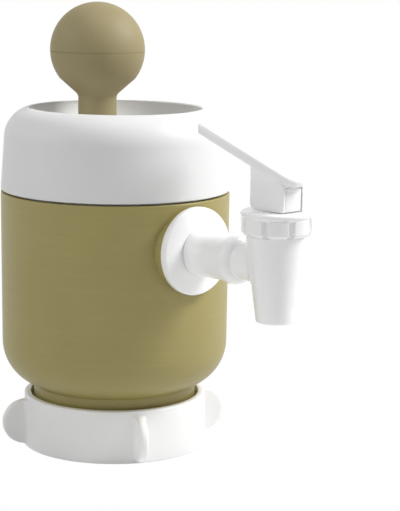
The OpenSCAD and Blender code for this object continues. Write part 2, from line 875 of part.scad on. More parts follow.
module tap_body() {
    color(white)
        difference() {
            union() {
                along_pipe() {
                    rotate([180, 0, 0]) barb(barb_r, water_r, -shank_end - 0.2, barb_l);
                    translate([0, 0, shank_end]) cylinder(r = shank_r, h = sleeve_x - shank_end + eps);
                    rotate_extrude() {
                        band(0, sleeve_r, sleeve_x, collar_x - 0.4);
                        band(0, sleeve_r - 0.4, sleeve_x, collar_x);
                        band(0, collar_r, collar_x, collar_x + collar_l - collar_round);
                        band(0, collar_r - collar_round, collar_x, collar_x + collar_l);
                        translate([collar_r - collar_round, collar_x + collar_l - collar_round])
                            circle(collar_round, $fn = 48);
                        band(0, pipe_r, collar_x, tap_x);
                    }
                }
                at_barrel()
                    rotate_extrude() {
                        polygon([
                            [0, spout_z], [spout_r - 0.4, spout_z], [spout_r, spout_z + 0.4],
                            [barrel_r, bonnet_base - seat_gap], [0, bonnet_base - seat_gap]
                        ]);
                        band(0, thread_r, bonnet_base - 1, thread_top);
                    }
            }
            along_pipe() translate([0, 0, shank_end - barb_l - 2]) cylinder(r = water_r, h = tap_x - shank_end + barb_l);
            at_barrel()
                rotate_extrude() {
                    band(0, spout_bore / 2, spout_z - 1, spout_z + spout_l);
                    polygon([
                        [0, spout_z + spout_l - eps], [spout_bore / 2, spout_z + spout_l - eps],
                        [seat_r, spout_z + spout_l + 1], [seat_r, seat_z + eps], [chamber_low_r, seat_z],
                        [chamber_low_r, seat_z + eps], [chamber_top_r, bonnet_base], [0, bonnet_base]
                    ]);
                    band(0, chamber_top_r, bonnet_base - eps, thread_top + 1);
                }
        }
}

module tap_bonnet() {
    bead_r = (bonnet_z - notch_top) / 2;
    bevel = 1.2;
    color(white)
        at_barrel()
            difference() {
                rotate_extrude()
                    difference() {
                        union() {
                            band(0, bonnet_r - bead_r, notch_top, bonnet_z);
                            translate([bonnet_r - bead_r, bonnet_z - bead_r]) circle(bead_r, $fn = 48);
                            polygon([
                                [0, bonnet_base], [bonnet_r - 0.3 - bevel, bonnet_base],
                                [bonnet_r - 0.3, bonnet_base + bevel],
                                [bonnet_r - 0.3, notch_top + bead_r], [0, notch_top + bead_r]
                            ]);
                        }
                        band(-1, thread_r + seat_gap, bonnet_base - 1, thread_top + 0.1);
                        band(-1, stem_r + run_gap, bonnet_base, bonnet_z + 1);
                    }
                for (i = [0 : notch_count - 1])
                    rotate([0, 0, notch_angle + i * 360 / notch_count])
                        translate([bonnet_r - notch_depth, -notch_w / 2, bonnet_base - 1])
                            cube([notch_depth + 1, notch_w, notch_top - bonnet_base + 1]);
            }
}

module bonnet_seal() {
    color(rubber)
        at_barrel() tube(chamber_top_r - 0.1, stem_r + seat_gap, thread_top - seal_t, thread_top);
}

// Round stem with a flat blade on top that stands in the lever's slot
module valve_stem() {
    blade_z = bonnet_z + slip_gap;
    color(white)
        at_barrel()
            difference() {
                union() {
                    translate([0, 0, plug_z + 1]) cylinder(r = stem_tip_r, h = plug_h);
                    translate([0, 0, spring_seat_z]) cylinder(r = spring_d / 2 + 0.8, h = spring_seat_t);
                    translate([0, 0, spring_seat_z]) cylinder(r = stem_r, h = blade_z - spring_seat_z + 1);
                    intersection() {
                        translate([-blade_rear, -blade_w / 2, blade_z])
                            cube([blade_rear + blade_front, blade_w, pivot_z + blade_top - blade_z]);
                        union() {
                            translate([0, blade_w, pivot_z]) rotate([90, 0, 0]) cylinder(r = blade_rear, h = 2 * blade_w);
                            translate([0, -blade_w, blade_z])
                                cube([blade_front, 2 * blade_w, pivot_z + blade_top - blade_z]);
                            translate([-blade_rear, -blade_w, blade_z])
                                cube([blade_rear, 2 * blade_w, pivot_z - blade_z]);
                        }
                    }
                }
                translate([0, blade_w, pivot_z]) rotate([90, 0, 0]) cylinder(r = pin_r + 0.02, h = 2 * blade_w);
            }
}

module stem_plug() {
    color(rubber)
        at_barrel()
            difference() {
                union() {
                    translate([0, 0, plug_z]) cylinder(r1 = plug_r - 0.8, r2 = plug_r, h = 1);
                    translate([0, 0, plug_z + 1]) cylinder(r = plug_r, h = plug_h - 1);
                }
                translate([0, 0, plug_z + 1]) cylinder(r = stem_tip_r + 0.05, h = plug_h);
            }
}

// One ring of six points round a point of the spring's wire
function wire_ring(c, side, up) = [
    for (k = [0 : 5]) c + spring_wire / 2 * (cos(60 * k) * side + sin(60 * k) * up)
];

// Compression spring with upright ends, as one unbroken tube
module stem_spring() {
    per_turn = 8;
    r = spring_d / 2;
    z0 = spring_z0 + 2 * spring_wire;
    z1 = spring_z1 - 2 * spring_wire;
    rings = spring_turns * per_turn;
    pitch = (z1 - z0) / spring_turns;
    echo(spring_gap = pitch - spring_wire);
    coil = [
        for (i = [0 : rings])
            let (a = 360 * i / per_turn)
                wire_ring([r * cos(a), r * sin(a), z0 + pitch * i / per_turn],
                    [cos(a), sin(a), 0], [0, 0, 1])
    ];
    ends = [for (z = [spring_z0, spring_z0 + spring_wire, spring_z1 - spring_wire, spring_z1])
        wire_ring([r, 0, z], [1, 0, 0], [0, -1, 0])];
    all_rings = concat([ends[0], ends[1]], coil, [ends[2], ends[3]]);
    n = len(all_rings);
    pts = [for (ring = all_rings) each ring];
    faces = concat(
        [[for (k = [0 : 5]) k]],
        [for (i = [0 : n - 2], k = [0 : 5])
            let (a = 6 * i + k, b = 6 * i + (k + 1) % 6)
                each [[a, a + 6, b], [b, a + 6, b + 6]]],
        [[for (k = [0 : 5]) 6 * (n - 1) + 5 - k]]
    );
    color(steel) at_barrel() polyhedron(pts, faces, convexity = 10);
}

module lever_pin() {
    color(steel)
        translate([tap_x, pin_l / 2, pivot_z]) rotate([90, 0, 0]) cylinder(r = pin_r, h = pin_l);
}

// A round puck with a rounded rim, for one corner of the paddle
module paddle_corner(x, y, r) {
    translate([x, y, 0])
        rotate_extrude($fn = 32)
            intersection() {
                band(0, r, 0, paddle_t);
                union() {
                    band(0, r - edge_r, 0, paddle_t);
                    translate([r - edge_r, paddle_t - edge_r]) circle(edge_r, $fn = 24);
                    translate([r - edge_r, edge_r]) circle(edge_r, $fn = 24);
                }
            }
}

module paddle() {
    front_r = 2.4;
    translate([yoke_front_x, 0, paddle_z])
        rotate([0, paddle_tilt, 0])
            hull() {
                for (s = [-1, 1]) {
                    paddle_corner(-front_r, s * (paddle_front_w / 2 - front_r), front_r);
                    paddle_corner(paddle_tip_round - paddle_l,
                        s * (paddle_tip_w / 2 - paddle_tip_round), paddle_tip_round);
                }
            }
}

// Side outline of the yoke: flat foot, round heel, top under the paddle
module yoke_2d() {
    heel_x = yoke_rear_x + heel_r;
    rear_top = paddle_z + yoke_l * tan(paddle_tilt) + 1;
    translate([heel_x, yoke_z + heel_r]) circle(heel_r);
    polygon([
        [heel_x, yoke_z], [yoke_front_x - 0.6, yoke_z], [yoke_front_x, yoke_z + 0.6],
        [yoke_front_x, paddle_z + 1.5], [yoke_rear_x, rear_top], [yoke_rear_x, yoke_z + heel_r],
        [heel_x, yoke_z + heel_r]
    ]);
}

module tap_lever() {
    color(white)
        difference() {
            union() {
                translate([0, yoke_w / 2, 0]) rotate([90, 0, 0]) linear_extrude(yoke_w) yoke_2d();
                paddle();
            }
            // Slot for the stem's blade, with a round roof over the pin
            translate([yoke_rear_x - 1, -slot_w / 2, yoke_z - 1])
                cube([yoke_l + 2, slot_w, pivot_z + slot_top - yoke_z + 1]);
            translate([tap_x, pin_l / 2 + slip_gap, pivot_z])
                rotate([90, 0, 0]) cylinder(r = pin_r + run_gap, h = pin_l + 2 * slip_gap);
        }
}

// ---- Jug grip and lock ring ----

module grip_collet() {
    color(clear_white)
        difference() {
            rotate_extrude()
                difference() {
                    union() {
                        band(grip_r, grip_out_r, 0, grip_l);
                        band(grip_r, lip_out_r, 0, lip_h);
                        polygon([
                            [grip_r, neck_end - slip_gap + seat_gap], [bead_out_r, neck_end - slip_gap + seat_gap],
                            [bead_out_r, neck_end + bead_h - slip_gap], [grip_r, neck_end + bead_h + 1]
                        ]);
                    }
                    band(-1, grip_r, -1, grip_l + 1);
                }
            for (i = [0 : grip_slots - 1])
                rotate([0, 0, i * 360 / grip_slots])
                    translate([grip_r - 1, -grip_slot_w / 2, lip_h])
                        cube([neck_r - grip_r, grip_slot_w, grip_l]);
        }
}

module lock_ring_2d() {
    rim = 0.9;
    thread_z0 = neck_end - slip_gap;
    thread_z1 = ring_h - 5;
    inner_r = neck_r + 0.2;
    difference() {
        union() {
            polygon([
                [lip_out_r + seat_gap, 0], [ring_foot_r - 0.6, 0], [ring_foot_r, 0.6],
                [ring_top_r, ring_h - rim], [0, ring_h - rim], [0, 0.6]
            ]);
            translate([ring_top_r - rim, ring_h - rim]) circle(rim, $fn = 48);
            band(0, ring_top_r - rim, ring_h - rim - eps, ring_h);
        }
        band(-1, lip_out_r + slip_gap, -1, ring_web_z);
        band(-1, web_in_r + seat_gap, -1, ring_h + 1);
        band(-1, inner_r, thread_z0, ring_h + 1);
        polygon([
            [0, thread_z1], [inner_r, thread_z1], [ring_mouth_r, thread_z1 + 1.4],
            [ring_mouth_r, ring_h - 0.5], [ring_mouth_r + 0.6, ring_h + 0.1], [0, ring_h + 0.1]
        ]);
    }
}

// Upright half-disc with a rounded rim and a flared root
module lug() {
    edge = 1.3;
    disc_r = lug_h / 2;
    disc_x = lug_reach - disc_r;
    root_x = ring_top_r - 1.2;
    flare = 2;
    translate([disc_x, 0, ring_h / 2 - 0.4])
        rotate([90, 0, 0]) {
            rotate_extrude() {
                band(0, disc_r - edge, -lug_t / 2, lug_t / 2);
                band(0, disc_r, -lug_t / 2 + edge, lug_t / 2 - edge);
                for (s = [-1, 1])
                    translate([disc_r - edge, s * (lug_t / 2 - edge)]) circle(edge, $fn = 32);
            }
        }
    intersection() {
        translate([disc_x, 3 * flare, ring_h / 2 - 0.4])
            rotate([90, 0, 0]) cylinder(r = disc_r - edge, h = 6 * flare);
        translate([root_x, 0, 0])
            linear_extrude(ring_h)
                difference() {
                    translate([0, -lug_t / 2 - flare]) square([flare + 1.2, lug_t + 2 * flare]);
                    for (s = [-1, 1])
                        translate([flare + 1.2, s * (lug_t / 2 + flare)]) circle(flare, $fn = 48);
                }
    }
}

module lock_ring() {
    color(white) {
        rotate_extrude() lock_ring_2d();
        difference() {
            for (i = [0 : lug_count - 1])
                rotate([0, 0, lug_angle + i * 360 / lug_count]) lug();
            translate([0, 0, -1]) cylinder(r = ring_top_r - 1.2, h = ring_h + 2);
        }
    }
}

housing();
top_cap();
cap_seal();
jug_seal();
air_cylinder();
cylinder_gasket();
cylinder_nut();
cylinder_head();
rod_bush();
outlet_valve();
plunger();
knob_cap();
piston();
piston_cup();
cup_washer();
piston_screw();
bumper();
dip_fitting();
dip_nut();
riser_hose();
hose_clips();
tap_flange();
tap_washer();
tap_nut();
tap_body();
tap_bonnet();
bonnet_seal();
valve_stem();
stem_plug();
stem_spring();
lever_pin();
tap_lever();
grip_collet();
lock_ring();
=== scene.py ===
# Hand pump with a lever tap for a large water jug, dressed round its CAD frame.
import json
import math

import bmesh
import bpy
from mathutils import Matrix, Vector


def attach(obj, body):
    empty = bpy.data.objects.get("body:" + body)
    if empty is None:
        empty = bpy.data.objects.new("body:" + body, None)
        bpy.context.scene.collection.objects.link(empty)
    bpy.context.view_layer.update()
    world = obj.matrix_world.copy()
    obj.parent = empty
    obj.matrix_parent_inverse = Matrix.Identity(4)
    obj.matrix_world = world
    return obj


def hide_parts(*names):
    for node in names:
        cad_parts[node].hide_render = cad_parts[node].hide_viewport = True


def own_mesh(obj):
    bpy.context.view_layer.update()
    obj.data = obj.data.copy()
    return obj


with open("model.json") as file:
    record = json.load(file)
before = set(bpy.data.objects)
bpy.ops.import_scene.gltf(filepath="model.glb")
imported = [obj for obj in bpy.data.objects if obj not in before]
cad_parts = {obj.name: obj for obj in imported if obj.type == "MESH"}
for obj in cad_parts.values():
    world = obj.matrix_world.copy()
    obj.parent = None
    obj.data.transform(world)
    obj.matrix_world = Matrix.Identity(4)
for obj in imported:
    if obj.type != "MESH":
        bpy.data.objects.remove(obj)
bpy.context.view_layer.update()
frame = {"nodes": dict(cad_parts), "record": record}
scene = bpy.context.scene
mm = 0.001
print("frame loaded:", len(frame["nodes"]), "nodes")

# found by fitting the photographed circles
cameraSetup = {
    "place": (0.5433, -0.4559, 0.2040),
    "heading": 47.128,  # degrees, turned from +Y
    "tiltDown": 9.968,
    "roll": 0.763,
    "lens": 120.93,
    "sensorWidth": 36,
    "clip": (0.01, 100),
}


def placeCamera(setup):
    data = bpy.data.cameras.new("camera")
    data.lens = setup["lens"]
    data.sensor_width = setup["sensorWidth"]
    data.clip_start, data.clip_end = setup["clip"]
    camera = bpy.data.objects.new("camera", data)
    turned = (
        Matrix.Rotation(math.radians(setup["heading"]), 4, "Z")
        @ Matrix.Rotation(math.radians(90 - setup["tiltDown"]), 4, "X")
        @ Matrix.Rotation(math.radians(setup["roll"]), 4, "Z")
    )
    camera.matrix_world = Matrix.Translation(setup["place"]) @ turned
    scene.collection.objects.link(camera)
    scene.camera = camera


placeCamera(cameraSetup)
print("camera placed")


class Wire:
    # one socket of a node tree; sums on it add Math nodes, and node() adds any other
    def __init__(self, tree, socket=None):
        self.tree = tree
        self.socket = socket

    def node(self, kind, values=None, out=0, stops=None, **settings):
        made = self.tree.nodes.new(kind)
        for name, value in settings.items():
            setattr(made, name, value)
        if stops:
            ramp = made.color_ramp
            while len(ramp.elements) < len(stops):
                ramp.elements.new(0.5)
            for element, (place, colour) in zip(ramp.elements, stops):
                element.position = place
                element.color = (*colour, 1)
        for key, value in (values or {}).items():
            if isinstance(value, Wire):
                self.tree.links.new(value.socket, made.inputs[key])
            else:
                made.inputs[key].default_value = value
        return Wire(self.tree, made.outputs[out] if made.outputs else None)

    def sums(self, operation, *parts, **settings):
        return self.node("ShaderNodeMath", dict(enumerate(parts)), operation=operation, **settings)

    def __add__(self, other):
        return self.sums("ADD", self, other)

    def __radd__(self, other):
        return self.sums("ADD", other, self)

    def __sub__(self, other):
        return self.sums("SUBTRACT", self, other)

    def __rsub__(self, other):
        return self.sums("SUBTRACT", other, self)

    def __mul__(self, other):
        return self.sums("MULTIPLY", self, other)

    def __rmul__(self, other):
        return self.sums("MULTIPLY", other, self)

    def clamp(self):
        return self.sums("ADD", self, 0, use_clamp=True)


def emptyMaterial(name):
    material = bpy.data.materials.new(name)
    material.use_nodes = True
    material.node_tree.nodes.clear()
    return material, Wire(material.node_tree)


def scaledPlace(tree, scale):
    place = tree.node("ShaderNodeTexCoord", out="Object")
    return tree.node("ShaderNodeMapping", {"Vector": place, "Scale": scale})


def noise(tree, scale, detail=2, roughness=0.5):
    return tree.node(
        "ShaderNodeTexNoise",
        {"Vector": scaledPlace(tree, scale), "Scale": 1, "Detail": detail, "Roughness": roughness},
    )


def mixColour(tree, share, first, second):
    return tree.node("ShaderNodeMix", {0: share, 6: (*first, 1), 7: (*second, 1)}, out=2, data_type="RGBA")


def moulded(name, look):
    # moulded plastic or rubber: streaks of colour, uneven gloss and a fine surface grain
    material, tree = emptyMaterial(name)
    streak = noise(tree, look["streakScale"], detail=3, roughness=0.6)
    cloud = noise(tree, look.get("cloudScale", (30, 30, 30)))
    share = ((streak - 0.5) * look["streakAmount"] + (cloud - 0.5) * look["cloudAmount"] + 0.5).clamp()
    colour = mixColour(tree, share, look["dark"], look["light"])
    grain = noise(tree, look["grainScale"], roughness=0.7)
    rough = ((grain - 0.5) * look["roughAmount"] + (cloud - 0.5) * look["roughAmount"] + look["rough"]).clamp()
    relief = grain + streak * look.get("streakBump", 0)
    normal = tree.node(
        "ShaderNodeBump", {"Strength": look["bump"], "Distance": look["bumpHeight"] * mm, "Height": relief}
    )
    values = {
        "Base Color": colour,
        "Roughness": rough,
        "Normal": normal,
        "IOR": 1.48,  # common plastics
        "Coat Weight": look.get("coat", 0),
        "Coat Roughness": look.get("coatRough", 0.1),
        "Subsurface Weight": look.get("glow", 0),
        "Subsurface Radius": (1, 0.95, 0.9),
        "Subsurface Scale": look.get("glowDepth", 1) * mm,
        "Transmission Weight": look.get("clear", 0),
        "Metallic": look.get("metal", 0),
    }
    shader = tree.node("ShaderNodeBsdfPrincipled", values)
    tree.node("ShaderNodeOutputMaterial", {"Surface": shader})
    return material


def srgb(*levels):
    # 0-255 display levels to linear
    out = []
    for level in levels:
        share = level / 255
        out.append(share / 12.92 if share <= 0.04045 else ((share + 0.055) / 1.055) ** 2.4)
    return tuple(out)


looks = {
    "oliveShell": {
        "dark": srgb(150, 138, 80), "light": srgb(164, 152, 93),
        "streakScale": (40, 40, 900), "streakAmount": 0.6, "cloudScale": (35, 35, 35), "cloudAmount": 0.8,
        "grainScale": (3000, 3000, 3000), "rough": 0.5, "roughAmount": 0.12, "bump": 0.25, "bumpHeight": 0.06,
        "streakBump": 0.6, "coat": 0.25, "coatRough": 0.4,
    },
    "oliveKnob": {
        "dark": srgb(147, 135, 98), "light": srgb(154, 142, 104),
        "streakScale": (120, 120, 120), "streakAmount": 0.7, "cloudAmount": 0.6,
        "grainScale": (4000, 4000, 4000), "rough": 0.6, "roughAmount": 0.08, "bump": 0.2, "bumpHeight": 0.04,
    },
    "whiteCap": {
        "dark": srgb(225, 225, 225), "light": srgb(231, 231, 231),
        "streakScale": (60, 60, 60), "streakAmount": 0.6, "cloudAmount": 0.6,
        "grainScale": (3500, 3500, 3500), "rough": 0.5, "roughAmount": 0.1, "bump": 0.15, "bumpHeight": 0.03,
        "glow": 0.3, "glowDepth": 2,
    },
    "whiteRing": {
        "dark": srgb(248, 248, 248), "light": srgb(252, 252, 252),
        "streakScale": (80, 80, 80), "streakAmount": 0.6, "cloudAmount": 0.6,
        "grainScale": (900, 900, 900), "rough": 0.33, "roughAmount": 0.1, "bump": 0.12, "bumpHeight": 0.03,
        "glow": 0.3, "glowDepth": 2,
    },
    "whiteTap": {
        "dark": srgb(248, 248, 248), "light": srgb(252, 252, 252),
        "streakScale": (90, 90, 90), "streakAmount": 0.6, "cloudAmount": 0.6,
        "grainScale": (400, 400, 400), "rough": 0.24, "roughAmount": 0.1, "bump": 0.1, "bumpHeight": 0.04,
        "coat": 0.25, "glow": 0.2, "glowDepth": 1,
    },
    "naturalPlastic": {
        "dark": srgb(226, 225, 219), "light": srgb(238, 237, 232),
        "streakScale": (200, 200, 200), "streakAmount": 0.8, "cloudAmount": 0.6,
        "grainScale": (2500, 2500, 2500), "rough": 0.42, "roughAmount": 0.12, "bump": 0.2, "bumpHeight": 0.04,
        "glow": 0.1,
    },
    "clearPlastic": {
        "dark": srgb(214, 222, 226), "light": srgb(230, 236, 239),
        "streakScale": (60, 60, 300), "streakAmount": 0.5, "cloudAmount": 0.5,
        "grainScale": (1200, 1200, 1200), "rough": 0.16, "roughAmount": 0.08, "bump": 0.1, "bumpHeight": 0.03,
        "clear": 0.7,
    },
    "whiteSilicone": {
        "dark": srgb(214, 216, 216), "light": srgb(229, 231, 231),
        "streakScale": (250, 250, 250), "streakAmount": 0.8, "cloudAmount": 0.6,
        "grainScale": (1800, 1800, 1800), "rough": 0.5, "roughAmount": 0.12, "bump": 0.25, "bumpHeight": 0.05,
        "glow": 0.2,
    },
    "blackRubber": {
        "dark": srgb(30, 30, 31), "light": srgb(46, 46, 48),
        "streakScale": (400, 400, 400), "streakAmount": 1, "cloudAmount": 0.8,
        "grainScale": (2600, 2600, 2600), "rough": 0.66, "roughAmount": 0.16, "bump": 0.4, "bumpHeight": 0.06,
    },
    "stainless": {
        "dark": srgb(176, 178, 181), "light": srgb(206, 208, 210),
        "streakScale": (300, 300, 4000), "streakAmount": 1, "cloudAmount": 0.5,
        "grainScale": (3000, 3000, 3000), "rough": 0.28, "roughAmount": 0.14, "bump": 0.15, "bumpHeight": 0.02,
        "metal": 1,
    },
}
materials = {name: moulded(name, look) for name, look in looks.items()}
slotLooks = {
    "olive_shell": "oliveShell", "olive_knob": "oliveKnob", "white_cap": "whiteCap", "white_ring": "whiteRing",
    "white_tap": "whiteTap", "white_nut": "naturalPlastic", "clear_plastic": "clearPlastic",
    "white_silicone": "whiteSilicone", "black_rubber": "blackRubber", "stainless": "stainless",
}
print("materials made:", len(materials))

for part in frame["record"]["subparts"]:
    cadObject = frame["nodes"][part["node"]]
    cadObject.data.materials.clear()
    cadObject.data.materials.append(materials[slotLooks[part["material_slot"]]])
print("frame nodes painted")


def arc(centreR, centreZ, radius, fromAngle, toAngle, steps=16):
    # points of a rounded profile, in millimetres; angles in degrees from outward
    out = []
    for i in range(steps + 1):
        a = math.radians(fromAngle + (toAngle - fromAngle) * i / steps)
        out.append((centreR + radius * math.cos(a), centreZ + radius * math.sin(a)))
    return out


def roundCorners(bm, verts, corners, segments=5):
    # a third number on a corner is its rounding
    for vert, corner in zip(verts, corners):
        if len(corner) < 3:
            continue
        bmesh.ops.bevel(
            bm, geom=[vert], offset=corner[2] * mm, offset_type="OFFSET", segments=segments, profile=0.5,
            affect="VERTICES", material=-1, clamp_overlap=True,
        )


def turned(corners, steps=144, closed=True):
    # a profile of (radius, height) corners in millimetres, spun round Z
    bm = bmesh.new()
    verts = [bm.verts.new((corner[0] * mm, 0, corner[1] * mm)) for corner in corners]
    following = verts[1:] + verts[:1] if closed else verts[1:]
    for pair in zip(verts, following):
        bm.edges.new(pair)
    roundCorners(bm, verts, corners)
    bmesh.ops.spin(
        bm, geom=bm.verts[:] + bm.edges[:], cent=(0, 0, 0), axis=(0, 0, 1), dvec=(0, 0, 0),
        angle=2 * math.pi, steps=steps, use_merge=True, use_normal_flip=False, use_duplicate=False,
    )
    bmesh.ops.remove_doubles(bm, verts=bm.verts, dist=0.002 * mm)
    return bm


def rod(radius, low, high, steps=48):
    # a plain turned cutter; the finished piece keeps only what it cuts
    return turned([(0, low), (radius, low), (radius, high), (0, high)], steps, closed=False)


def extruded(corners, width):
    # an outline of (x, z) corners in millimetres, centred on y = 0
    bm = bmesh.new()
    verts = [bm.verts.new((corner[0] * mm, -width / 2 * mm, corner[1] * mm)) for corner in corners]
    bm.faces.new(verts)
    roundCorners(bm, verts, corners)
    done = bmesh.ops.extrude_face_region(bm, geom=bm.faces[:])
    moved = [item for item in done["geom"] if isinstance(item, bmesh.types.BMVert)]
    bmesh.ops.translate(bm, vec=(0, width * mm, 0), verts=moved)
    return bm


def softenEdges(bm, width, atLeast=40, segments=3):
    sharp = [edge for edge in bm.edges if edge.is_manifold and edge.calc_face_angle() > math.radians(atLeast)]
    bmesh.ops.bevel(
        bm, geom=sharp, offset=width * mm, offset_type="OFFSET", segments=segments, profile=0.5,
        affect="EDGES", material=-1, clamp_overlap=True,
    )


def boxed(low, high, soft=0):
    bm = bmesh.new()
    bmesh.ops.create_cube(bm, size=1)
    size = [high[i] - low[i] for i in range(3)]
    middle = [(high[i] + low[i]) / 2 for i in range(3)]
    bmesh.ops.scale(bm, vec=[s * mm for s in size], verts=bm.verts)
    bmesh.ops.translate(bm, vec=[m * mm for m in middle], verts=bm.verts)
    if soft:
        softenEdges(bm, soft)
    return bm


def movedTo(bm, x=0, y=0, z=0):
    bmesh.ops.translate(bm, vec=(x * mm, y * mm, z * mm), verts=bm.verts)
    return bm


def turnedBy(bm, angle, axis):
    bmesh.ops.rotate(bm, cent=(0, 0, 0), matrix=Matrix.Rotation(angle, 3, axis), verts=bm.verts)
    return bm


def alongX(bm, height):
    # lays a turned solid down so that its axis runs along +X at a height
    return movedTo(turnedBy(bm, math.pi / 2, "Y"), z=height)


def solid(name, bm):
    bmesh.ops.recalc_face_normals(bm, faces=bm.faces)
    mesh = bpy.data.meshes.new(name)
    bm.to_mesh(mesh)
    bm.free()
    piece = bpy.data.objects.new(name, mesh)
    scene.collection.objects.link(piece)
    return piece


def carve(piece, cutter, operation="DIFFERENCE"):
    # joins or cuts two closed solids for good
    step = piece.modifiers.new("carve", "BOOLEAN")
    step.operation, step.solver, step.object = operation, "EXACT", cutter
    made = bpy.data.meshes.new_from_object(piece.evaluated_get(bpy.context.evaluated_depsgraph_get()))
    piece.modifiers.clear()
    old, piece.data = piece.data, made
    bpy.data.meshes.remove(old)
    bpy.data.objects.remove(cutter)
    made.name = piece.name
    return piece


def finishPiece(piece, node, body, sharpFrom=35):
    # material, smooth shading, and what it rides on and stands for
    slotName = slotOf[node]
    piece.data.materials.clear()
    piece.data.materials.append(materials[slotLooks[slotName]])
    for face in piece.data.polygons:
        face.use_smooth = True
    piece.data.set_sharp_from_angle(angle=math.radians(sharpFrom))
    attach(piece, body)
    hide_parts(node)


slotOf = {part["node"]: part["material_slot"] for part in frame["record"]["subparts"]}

housingSize = {
    "footR": 47.1, "topR": 47.48, "wall": 3, "curveR": 19, "curveZ": 44, "top": 106.65, "topEdge": 0.5,
    "neckR": 34, "neckInR": 31.5, "neckEnd": 4.7, "floorUnder": 26, "floorTop": 29, "mouthR": 32.3,
    "mouthStep": (1.7, 4),  # heights over the neck's end where its bore steps in
    "pumpX": -12, "pumpHole": 6.8, "dipX": 13, "dipHole": 5.3, "tapZ": 87.7, "tapHole": 7.3,
    "bossR": 17, "bossX": 48.5, "bossEdge": 0.4,  # the flat boss behind the tap's flange
    "floorCut": (20, 34), "wallIn": 40, "wallOut": 52, "insideLow": 60,  # how far the cutters reach
}


def makeHousing(size):
    curveR, middle = size["curveR"], size["footR"] - size["curveR"]
    innerR = curveR - size["wall"]
    outerStart = math.degrees(math.asin((size["neckR"] - middle) / curveR)) - 90
    innerStart = -math.degrees(math.asin((size["curveZ"] - size["floorTop"]) / innerR))
    neckEnd, neckTop = size["neckEnd"], size["curveZ"] + curveR * math.sin(math.radians(outerStart))
    stepLow, stepTop = size["mouthStep"]
    outer = arc(middle, size["curveZ"], curveR, outerStart, 0, 24)[1:]
    inner = arc(middle, size["curveZ"], innerR, 0, innerStart, 18)
    corners = [
        (0, size["floorUnder"]), (size["neckInR"], size["floorUnder"], 0.8), (size["neckInR"], neckEnd + stepTop),
        (size["mouthR"], neckEnd + stepLow), (size["mouthR"], neckEnd, 0.3),
        (size["neckR"], neckEnd, 0.5), (size["neckR"], neckTop - 0.5),
        *outer, (size["topR"], size["top"], size["topEdge"]), (size["topR"] - size["wall"], size["top"], 0.45),
        *inner, (0, size["floorTop"]),
    ]
    housing = solid("housingShell", turned(corners, 192, closed=False))
    bossR, bossX, wallIn, wallOut = size["bossR"], size["bossX"], size["wallIn"], size["wallOut"]
    boss = turned([(0, wallIn), (bossR, wallIn), (bossR, bossX, size["bossEdge"]), (0, bossX)], 144, closed=False)
    boss = solid("boss", alongX(boss, size["tapZ"]))
    inside = rod(size["topR"] - size["wall"] / 2, size["insideLow"], size["top"], 192)
    carve(boss, solid("inside", inside))
    carve(housing, boss, "UNION")
    low, high = size["floorCut"]
    for x, radius in ((size["pumpX"], size["pumpHole"]), (size["dipX"], size["dipHole"])):
        carve(housing, solid("hole", movedTo(rod(radius, low, high), x)))
    carve(housing, solid("hole", alongX(rod(size["tapHole"], wallIn, wallOut), size["tapZ"])))
    finishPiece(housing, "housing", "pump")


capSize = {
    "base": 106.8, "baseR": 47.48, "baseEdge": 0.5, "grooveTop": 107.5, "grooveR": 44.8,
    "curveR": 13, "curveMid": 33, "lipR": 0.8, "top": 141.2, "dishWallR": 35.5, "dishR": 12.2, "dishFloor": 129,
    "wall": 2.6, "ledgeTop": 109.8, "ledgeR": 44.64, "skirtR": 44.35, "skirtInR": 41.15, "skirtEnd": 99,
    "sealR": 42.45, "sealRoom": (102, 104), "padR": 29,
    "pumpX": -12, "rodHole": 8.6, "rodEdge": 0.7, "sleeve": (12.56, 14.96, 108.95),
}


